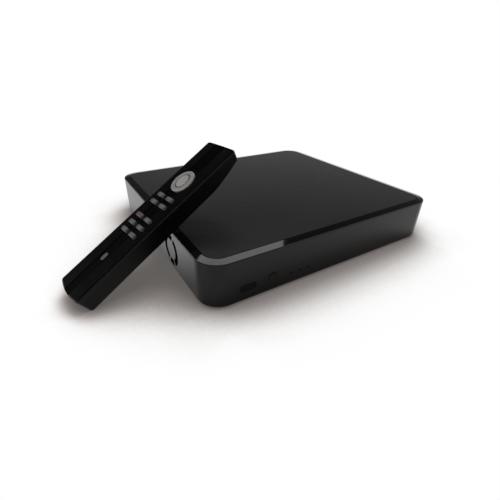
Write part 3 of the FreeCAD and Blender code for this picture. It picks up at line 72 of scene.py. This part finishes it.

# A key gets painted shade that darkens it towards its ends, and one key has a red spot. Each
# counts its way along the key less than its way across, and then says how strong it is from the
# middle outwards.
ENDS_ALONG = 0.5
ENDS_EDGE = ((0.10, 0.85), (0.0, 0.94))
SPOT_ALONG = 0.35
SPOT_EDGE = ((0.08, 0.26), (0.70, 0.0))

# Most values of a noise lie in this band, and roughness varies by these shares as they cross it
BAND = (0.3, 0.7)
UNEVEN = (0.85, 1.2)


def rgb(*values):
    """Colour with alpha, from one grey or from three values."""
    if len(values) == 1:
        values = values * 3
    return tuple(values) + (1.0,)


def scaled(colour, share, lift=0.0):
    """Colour made darker or lighter by a share, and lifted by a little grey."""
    return tuple(min(1.0, value * share + lift) for value in colour[:3]) + (1.0,)


STEEL = rgb(0.42, 0.42, 0.43)
SILVER = rgb(0.195, 0.205, 0.218)
# painted shade for the ends of the keys
PAINTED_END_SHADE = rgb(0.02)
DISH_SHADE = rgb(0.06)
RED = rgb(0.30, 0.012, 0.010)
WHITE = rgb(1.0)


# ---------------------------------------------------------------- shader helpers

class Nodes:
    """A node tree, with short names for what the materials and the world build in it."""

    def __init__(self, tree):
        self.tree = tree
        tree.nodes.clear()

    def feed(self, socket, value):
        """Link an input to another node's socket, or set it to a plain value."""
        if isinstance(value, bpy.types.NodeSocket):
            self.tree.links.new(value, socket)
        else:
            socket.default_value = value

    def add(self, kind, sockets=None, **settings):
        """New node with its settings, and with what its inputs hold, by name or number."""
        node = self.tree.nodes.new(kind)
        for key, value in settings.items():
            setattr(node, key, value)
        for key, value in (sockets or {}).items():
            self.feed(node.inputs[key], value)
        return node

    def range(self, source, span, result=(0.0, 1.0)):
        """A value carried from one span to another."""
        return self.add("ShaderNodeMapRange", {
            "Value": source, "From Min": span[0], "From Max": span[1],
            "To Min": result[0], "To Max": result[1]}).outputs["Result"]

    def math(self, operation, first, second):
        return self.add("ShaderNodeMath", {0: first, 1: second}, operation=operation).outputs[0]

    def vector(self, operation, sockets):
        return self.add("ShaderNodeVectorMath", sockets, operation=operation).outputs

    def ramp(self, source, stops):
        """Colour by value; a stop is its place and its grey, or its place, red, green and blue."""
        node = self.add("ShaderNodeValToRGB", {"Fac": source})
        elements = node.color_ramp.elements
        while len(elements) < len(stops):
            elements.new(0.5)     # its place is set below
        for element, (place, *colour) in zip(elements, stops):
            element.position = place
            element.color = rgb(*colour)
        return node.outputs["Color"]

    def blend(self, share, first, second):
        """Shader between two shaders."""
        return self.add("ShaderNodeMixShader", {0: share, 1: first, 2: second}).outputs[0]

    def axes(self, source):
        return self.add("ShaderNodeSeparateXYZ", {0: source}).outputs


class Shader(Nodes):
    """A material under construction: its node tree and its surface shader."""

    def __init__(self, name):
        self.material = bpy.data.materials.new(name)
        self.material.use_nodes = True
        super().__init__(self.material.node_tree)
        self.output = self.add("ShaderNodeOutputMaterial")
        self.surface = self.add("ShaderNodeBsdfPrincipled")
        self.feed(self.output.inputs["Surface"], self.surface.outputs[0])
        self.coords = self.add("ShaderNodeTexCoord").outputs["Object"]

    def set(self, **values):
        """Set or link inputs of the surface; an underscore stands for a space."""
        for key, value in values.items():
            self.feed(self.surface.inputs[key.replace("_", " ")], value)

    def noise(self, scale, detail=3.0, stretch=None, distortion=0.0):
        """Noise from 0 to 1, finer the larger its scale, drawn out along an axis by stretch."""
        place = self.coords
        if stretch:
            place = self.add("ShaderNodeMapping", {
                "Scale": stretch, "Vector": place}).outputs["Vector"]
        return self.add("ShaderNodeTexNoise", {
            "Scale": scale, "Detail": detail, "Distortion": distortion,
            "Vector": place}).outputs["Fac"]

    def cells(self, scale):
        """Distance to the nearest of many scattered points."""
        return self.add("ShaderNodeTexVoronoi", {
            "Scale": scale, "Vector": self.coords}).outputs["Distance"]

    def mix(self, share, first, second):
        """Colour between two colours."""
        return self.add("ShaderNodeMix", {"Factor": share, "A": first, "B": second},
                        data_type="RGBA").outputs["Result"]

    def uneven(self, source, rough, band=BAND, shares=UNEVEN):
        """Roughness that varies by shares as a noise crosses its band."""
        return self.range(source, band, (rough * shares[0], rough * shares[1]))

    def bump(self, height, strength, distance):
        node = self.add("ShaderNodeBump", {
            "Strength": strength, "Distance": distance, "Height": height})
        self.set(Normal=node.outputs["Normal"])
        return node

    def scratches(self, strength):
        """Sparse hairline scuffs in patches, from 0 to a strength."""
        lines = self.range(self.noise(950, 2, stretch=(0.05, 1.0, 0.6)), (0.68, 0.76))
        patches = self.range(self.noise(24, 3), (0.52, 0.70), (0.0, strength))
        return self.math("MULTIPLY", lines, patches)

    def open_sky(self, reach):
        """How much of the sky within a reach is open, from 0 to 1."""
        return self.add("ShaderNodeAmbientOcclusion", {"Distance": reach},
                        samples=SKY_SAMPLES).outputs["AO"]


# ---------------------------------------------------------------- materials

def moulded(name, colour, rough, spread=0.25, scuffs=0.35, shine=0.5):
    """Moulded plastic: fine grain, uneven gloss and faint scuffs."""
    s = Shader(name)
    cloud = s.range(s.noise(28, 4), BAND)
    base = s.mix(cloud, scaled(colour, 1 - spread), scaled(colour, 1 + spread))
    base = s.mix(s.scratches(scuffs), base, scaled(colour, 1.5, lift=0.012))
    smear = s.noise(60, 5, stretch=(1.0, 0.35, 1.0), distortion=0.6)
    s.set(Base_Color=base, Roughness=s.uneven(smear, rough, band=(0.3, 0.75)),
          IOR=1.5, Specular_IOR_Level=shine)
    s.bump(s.noise(1400, 2), strength=0.35, distance=0.00002)
    return s


def glossy_black(name, base, rough, shine=0.5):
    """Polished black plastic with faint hairlines, haze and a little dust."""
    s = Shader(name)
    dust = s.range(s.cells(900), (0.0, 0.06), (1.0, 0.0))
    sparse = s.math("MULTIPLY", dust, s.range(s.noise(260, 2), (0.60, 0.72), (0.0, 0.35)))
    colour = s.mix(s.range(s.noise(16), BAND), rgb(base * 0.75), rgb(base * 1.25))
    haze = s.noise(34, 5, stretch=(1.0, 0.4, 1.0), distortion=0.8)
    s.set(Base_Color=s.mix(sparse, colour, rgb(0.10, 0.10, 0.105)),
          Roughness=s.uneven(haze, rough, band=(0.3, 0.75), shares=(0.8, 1.5)),
          IOR=1.5, Specular_IOR_Level=shine)
    s.bump(s.noise(700, 2, stretch=(0.08, 1.0, 1.0)), strength=0.10, distance=0.000004)
    return s


def satin_top(name):
    """Satin black top plate: a fine moulded grain and barely uneven gloss."""
    s = Shader(name)
    cloud = s.noise(9, 2)
    specks = s.math("GREATER_THAN", s.noise(1500, 1), 0.69)
    base = s.mix(s.range(cloud, BAND), rgb(0.0053, 0.0053, 0.0056), rgb(0.0064, 0.0064, 0.0067))
    s.set(Base_Color=s.mix(s.math("MULTIPLY", specks, 0.2), base, rgb(0.020, 0.020, 0.021)),
          Roughness=s.range(cloud, (0.25, 0.75), (0.26, 0.29)), IOR=1.45)
    s.bump(s.noise(2600, 2), strength=0.20, distance=0.000012)
    return s


def soft_rubber(name, grey):
    """Matt rubber with a dusty bloom."""
    s = Shader(name)
    bloom = s.noise(180, 5)
    s.set(Base_Color=s.mix(s.range(bloom, (0.35, 0.75)), rgb(grey * 0.7), rgb(grey * 1.5)),
          Roughness=s.range(bloom, BAND, (0.65, 0.85)))
    s.bump(s.noise(2200, 2), strength=0.4, distance=0.00003)
    return s


def dark_window(name, tint):
    """Deep red-black window, polished."""
    s = Shader(name)
    s.set(Base_Color=s.mix(s.range(s.noise(45), BAND), tint, rgb(0.0006)),
          Roughness=s.range(s.noise(300), BAND, (0.05, 0.12)), Specular_IOR_Level=0.10)
    s.bump(s.noise(500, 2), strength=0.06, distance=0.00001)
    return s


def brushed(name, colour, rough, stretch=(0.06, 1.0, 1.0)):
    """Rolled or brushed sheet metal, its streaks drawn out along an axis by stretch."""
    s = Shader(name)
    streak = s.noise(2600, 4, stretch)
    shade = scaled(colour, 0.8)
    base = s.mix(s.range(streak, BAND), shade, colour)
    cloud = s.range(s.noise(40), (0.35, 0.7), (0.0, 0.35))
    s.set(Base_Color=s.mix(cloud, base, shade), Metallic=1.0,
          Roughness=s.uneven(streak, rough, band=(0.2, 0.8), shares=(0.75, 1.3)))
    s.bump(streak, strength=0.15, distance=0.00001)
    return s


def cast_metal(name, colour, rough):
    """Cast aluminium with a shot-blasted grain."""
    s = Shader(name)
    cloud = s.noise(50, 4)
    s.set(Base_Color=s.mix(s.range(cloud, BAND), scaled(colour, 0.7), colour), Metallic=1.0,
          Roughness=s.uneven(cloud, rough))
    s.bump(s.cells(1100), strength=0.4, distance=0.00005)
    return s


def circuit(name):
    """Green solder mask over fine tracks, with scattered pads."""
    s = Shader(name)
    tracks = s.add("ShaderNodeTexBrick", {
        "Scale": 210, "Mortar Size": 0.03, "Color1": rgb(0.010, 0.075, 0.030),
        "Color2": rgb(0.014, 0.100, 0.040), "Mortar": rgb(0.020, 0.160, 0.060),
        "Vector": s.coords}, offset=0.0)
    pads = s.math("GREATER_THAN", s.range(s.cells(420), (0.0, 0.16), (1.0, 0.0)), 0.25)
    few = s.math("MULTIPLY", pads, s.math("GREATER_THAN", s.noise(90), 0.58))
    s.set(Base_Color=s.mix(few, tracks.outputs["Color"], rgb(0.62, 0.56, 0.40)),
          Roughness=s.range(s.noise(120), BAND, (0.28, 0.42)))
    s.bump(tracks.outputs["Fac"], strength=0.3, distance=0.00003)
    return s


# ---------------------------------------------------------------- the remote control's silver

def face_axes():
    """Directions along and across the remote control's face, from its keys' travel."""
    out = -Vector(frame["record"]["behaviour"]["joints"][-1]["axis"]).normalized()
    along = (Vector((0, 0, 1)) - out * out.z).normalized()
    return along, out.cross(along)


def from_middle(s, node, halves):
    """Squares of how many halves a place lies from a node's middle, along and across the face."""
    low, high = (Vector(corner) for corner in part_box(node))
    box_place = s.add("ShaderNodeTexCoord").outputs["Generated"]
    centred = s.vector("SUBTRACT", {0: box_place, 1: (0.5, 0.5, 0.5)})[0]
    sized = s.vector("MULTIPLY", {0: centred, 1: high - low})[0]
    squares = []
    for direction, half in zip(face_axes(), halves):
        place = s.vector("DOT_PRODUCT", {0: sized, 1: direction / half})["Value"]
        squares.append(s.math("MULTIPLY", place, place))
    return squares


def silver_coat(s, tint, rough, metal):
    """Silver paint over plastic: fine flakes and a cloudy, slightly rubbed coat.

    Returns the paint's colour and the bump of its flakes.
    """
    flakes = s.cells(5200)
    cloud = s.noise(170)
    shade = scaled(tint, 0.74)
    base = s.mix(s.range(flakes, (0.0, 0.7)), tint, shade)
    base = s.mix(s.range(cloud, (0.50, 0.75), (0.0, 0.6)), base, shade)
    s.set(Base_Color=base, Roughness=s.uneven(cloud, rough), Metallic=metal)
    return base, s.bump(flakes, strength=0.12, distance=0.000008)


def silver_paint(name, tint, rough, metal):
    s = Shader(name)
    silver_coat(s, tint, rough, metal)
    return s


def domed_key(name, tint, mark=None):
    """Silver key with a bowed top and painted shade that darkens it towards its ends. A mark is a
    coloured spot on it.
    """
    s = Shader(name)
    paint, coat = silver_coat(s, tint, rough=0.26, metal=0.45)
    along, across = from_middle(s, "remote_key_01", KEY_HALF)
    # painted shade: the key's colour darkens towards its ends
    end_shade = s.math("ADD", s.math("MULTIPLY", along, ENDS_ALONG), across)
    face = s.mix(s.range(end_shade, *ENDS_EDGE), paint, PAINTED_END_SHADE)
    if mark:
        spot = s.math("ADD", s.math("MULTIPLY", along, SPOT_ALONG), across)
        face = s.mix(s.range(spot, *SPOT_EDGE), face, mark)
    s.set(Base_Color=face)
    height = s.math("MULTIPLY", s.math("ADD", along, across), -1.0)
    bow = s.add("ShaderNodeBump", {"Distance": KEY_BOW, "Height": height})
    s.feed(coat.inputs["Normal"], bow.outputs["Normal"])
    return s


def dished_ring(name, tint):
    """Silver ring with painted shade that darkens it down into the dish around the middle key."""
    s = Shader(name)
    paint, _ = silver_coat(s, tint, rough=0.28, metal=0.60)
    along, across = from_middle(s, "remote_nav_ring", DISH_HALF)
    # painted shade: the ring's colour darkens towards the dish
    painted_dish_shade = s.range(s.math("ADD", along, across), *DISH_EDGE)
    s.set(Base_Color=s.mix(painted_dish_shade, paint, DISH_SHADE))
    return s


# ---------------------------------------------------------------- which node wears what

def make_looks():
    return {
        "shell": glossy_black("shell_gloss", 0.0016, 0.12, shine=0.20),
        "ring": glossy_black("ring_gloss", 0.0012, 0.05),
        "top": satin_top("top_satin"),
        "pan": moulded("pan_plastic", rgb(0.006), 0.45),
        "rubber": soft_rubber("foot_rubber", 0.018),
        "screw": brushed("screw_steel", STEEL, 0.32),
        "window": dark_window("ir_window", rgb(0.0016, 0.0006, 0.0006)),
        "pipe": moulded("light_pipe", rgb(0.0010), 0.22, spread=0.08, shine=0.03),
        "button": moulded("button_plastic", rgb(0.0012), 0.13, shine=0.17),
        "board": circuit("circuit_board"),
        "chip": moulded("chip_epoxy", rgb(0.018), 0.42),
        "fan": moulded("fan_plastic", rgb(0.005), 0.36),
        "sheet": brushed("sheet_steel", STEEL, 0.34),
        "fins": brushed("fin_aluminium", rgb(0.70, 0.70, 0.71), 0.30, stretch=(1.0, 0.05, 1.0)),
        "sleeve": moulded("capacitor_sleeve", rgb(0.05, 0.05, 0.10), 0.25),
        "socket": moulded("socket_plastic", rgb(0.008), 0.38),
        "can": brushed("socket_shell", rgb(0.62, 0.62, 0.63), 0.28, stretch=(1.0, 0.06, 1.0)),
        "casting": cast_metal("drive_casting", rgb(0.30, 0.30, 0.31), 0.45),
        "lid": brushed("drive_lid", rgb(0.66, 0.66, 0.67), 0.30),
        "remote": moulded("remote_plastic", rgb(0.0014), 0.34, scuffs=0.1, shine=0.13),
        "strip": glossy_black("remote_strip", 0.0006, 0.06, shine=0.3),
        "silver": domed_key("key_silver", SILVER),
        "marked": domed_key("key_marked", SILVER, mark=RED),
        "badge": silver_paint("badge_silver", rgb(0.40, 0.40, 0.41), 0.24, 0.80),
        "ring_silver": dished_ring("ring_silver", rgb(0.50, 0.49, 0.465)),
        "ok_silver": silver_paint("ok_silver", rgb(0.56, 0.55, 0.52), 0.28, 0.55),
        "cell": moulded("cell_wrapper", rgb(0.10, 0.12, 0.16), 0.28),
        "brass": brushed("contact_brass", rgb(0.72, 0.58, 0.30), 0.30),
        "mat": soft_rubber("key_rubber", 0.12),
    }


# A node that isn't here is a plain bar key
NODE_LOOKS = {
    "side_shell": "shell", "trim_ring": "ring", "top_plate": "top", "bottom_pan": "pan",
    "feet": "rubber", "case_screws": "screw", "ir_window": "window", "ir_receiver": "chip",
    "indicator_lights": "pipe", "power_button": "button", "power_switch": "chip",
    "front_board": "board", "fan_frame": "fan", "fan_rotor": "fan", "main_board": "board",
    "processor": "chip", "heat_sink": "fins", "capacitors": "sleeve", "rear_panel": "sheet",
    "dc_jack": "socket", "ethernet_socket": "can", "usb_ports": "can", "hdmi_socket": "can",
    "optical_socket": "socket", "av_jacks": "socket", "drive_cage": "sheet",
    "backplane_board": "board", "sata_socket": "socket", "tray_sled": "sheet",
    "tray_front": "shell", "lever_pin": "screw", "eject_lever": "button",
    "drive_casting": "casting", "drive_lid": "lid", "drive_board": "board",
    "drive_screws": "screw", "remote_top_shell": "remote", "remote_bottom_shell": "remote",
    "remote_face_strip": "strip", "remote_lens": "window", "remote_badge": "badge",
    "remote_key_mat": "mat", "remote_board": "board", "remote_batteries": "cell",
    "remote_battery_contacts": "brass", "remote_battery_door": "remote",
    "remote_nav_ring": "ring_silver", "remote_ok_key": "ok_silver", "remote_key_05": "marked",
}


def dress_nodes(looks):
    """Give every CAD node its material."""
    for name, node in NODES.items():
        look = NODE_LOOKS.get(name, "silver")
        node.data.materials.clear()
        node.data.materials.append(looks[look].material)


# ---------------------------------------------------------------- stage, light and camera

def case_middle(height):
    """The middle of the case as seen from above, at a height."""
    low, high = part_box("side_shell")
    return ((low[0] + high[0]) / 2, (low[1] + high[1]) / 2, height)


def floor_material():
    """Pale floor that shows the camera and glossy surfaces a painted shadow, and white farther
    out.
    """
    s = Shader("floor_white")
    s.set(Base_Color=rgb(FLOOR_GREY), Roughness=0.35, IOR=1.3)
    path = s.add("ShaderNodeLightPath").outputs
    across, along, _ = s.axes(s.coords)
    # painted light: floor beside the case's left side turns white for glossy rays only
    painted_glow_patch = s.math("MULTIPLY", s.range(across, *LEFT_GLOW), s.range(along, *LEFT_RISE))
    # painted shadow: the floor's glow darkens where a place sees little sky near the object
    shade = s.ramp(s.open_sky(SHADOW_REACH), SHADOW_STOPS)
    shade = s.mix(s.math("MULTIPLY", painted_glow_patch, path["Is Glossy Ray"]), shade, WHITE)
    fade = s.range(s.vector("LENGTH", {0: s.coords})["Value"], FADE)
    glow = s.add("ShaderNodeEmission", {"Color": s.mix(fade, shade, WHITE)}).outputs[0]
    seen = s.math("MAXIMUM", path["Is Camera Ray"], path["Is Glossy Ray"])
    seen = s.math("MAXIMUM", seen, path["Is Transmission Ray"])
    s.feed(s.output.inputs["Surface"], s.blend(seen, s.surface.outputs[0], glow))
    return s.material


def make_floor():
    mesh = bpy.data.meshes.new("floor")
    signs = ((-1, -1), (1, -1), (1, 1), (-1, 1))
    corners = [(x * FLOOR_REACH, y * FLOOR_REACH, 0) for x, y in signs]
    mesh.from_pydata(corners, [], [(0, 1, 2, 3)])
    mesh.materials.append(floor_material())
    floor = bpy.data.objects.new("floor", mesh)
    floor.location = case_middle(0.0)
    bpy.context.scene.collection.objects.link(floor)


def make_world():
    """White to the camera, bright and dark parts to glossy surfaces, plain light to the rest."""
    world = bpy.data.worlds.new("studio")
    bpy.context.scene.world = world
    world.use_nodes = True
    w = Nodes(world.node_tree)

    def background(colour, strength):
        return w.add("ShaderNodeBackground", {"Color": colour, "Strength": strength}).outputs[0]

    x, y, z = w.axes(w.add("ShaderNodeTexCoord").outputs["Generated"])
    side = w.ramp(w.range(x, (-1.0, 1.0)), SKY_SIDE_STOPS)
    gain = w.math("MULTIPLY", w.math("MAXIMUM", side, w.range(y, *SKY_FRONT)), SKY_GAIN)
    mirrored = background(w.ramp(z, SKY_STOPS), gain)
    path = w.add("ShaderNodeLightPath").outputs
    glossy = w.math("MAXIMUM", path["Is Glossy Ray"], path["Is Transmission Ray"])
    unseen = w.blend(glossy, background(WHITE, WORLD_LIGHT), mirrored)
    w.add("ShaderNodeOutputWorld", {
        "Surface": w.blend(path["Is Camera Ray"], unseen, background(WHITE, 1.0))})


def make_lamp(name, toward, distance, size, power, glossy):
    """Area lamp that looks at the middle of the case from a direction and a distance."""
    middle = Vector(case_middle(LAMP_AIM))
    lamp = bpy.data.lights.new(name, "AREA")
    lamp.shape = "RECTANGLE"
    lamp.size, lamp.size_y = size
    lamp.energy = power
    lamp_object = bpy.data.objects.new(name, lamp)
    bpy.context.scene.collection.objects.link(lamp_object)
    lamp_object.location = middle + Vector(toward).normalized() * distance
    lamp_object.rotation_mode = "QUATERNION"
    lamp_object.rotation_quaternion = (middle - lamp_object.location).to_track_quat("-Z", "Y")
    lamp_object.visible_glossy = glossy


def make_lamps():
    """A soft box overhead, a weak fill in front, and the box that the front bevel mirrors."""
    make_lamp("sky_box", toward=(-0.28, 0.36, 0.88), distance=1.2, size=(1.2, 1.2), power=7.0,
              glossy=False)
    make_lamp("front_fill", toward=(-0.58, -0.58, 0.58), distance=1.5, size=(1.0, 1.0), power=2.0,
              glossy=False)
    make_lamp("bevel_box", toward=(0.267, 0.537, 0.80), distance=1.5, size=(0.96, 0.46), power=2.6,
              glossy=True)


def make_camera():
    camera = bpy.data.cameras.new("camera")
    camera.lens = LENS_MM
    camera.sensor_width = SENSOR_MM
    camera.clip_start, camera.clip_end = CLIP
    camera_object = bpy.data.objects.new("camera", camera)
    bpy.context.scene.collection.objects.link(camera_object)
    turn = (Matrix.Rotation(-radians(CAMERA_RIGHTWARD), 4, "Z")
            @ Matrix.Rotation(radians(90 - CAMERA_DOWNWARD), 4, "X")
            @ Matrix.Rotation(radians(CAMERA_ROLL), 4, "Z"))
    camera_object.matrix_world = Matrix.Translation(CAMERA_AT) @ turn
    bpy.context.scene.camera = camera_object


dress_nodes(make_looks())
make_floor()
make_world()
make_lamps()
make_camera()
bpy.context.scene.view_settings.view_transform = "Standard"
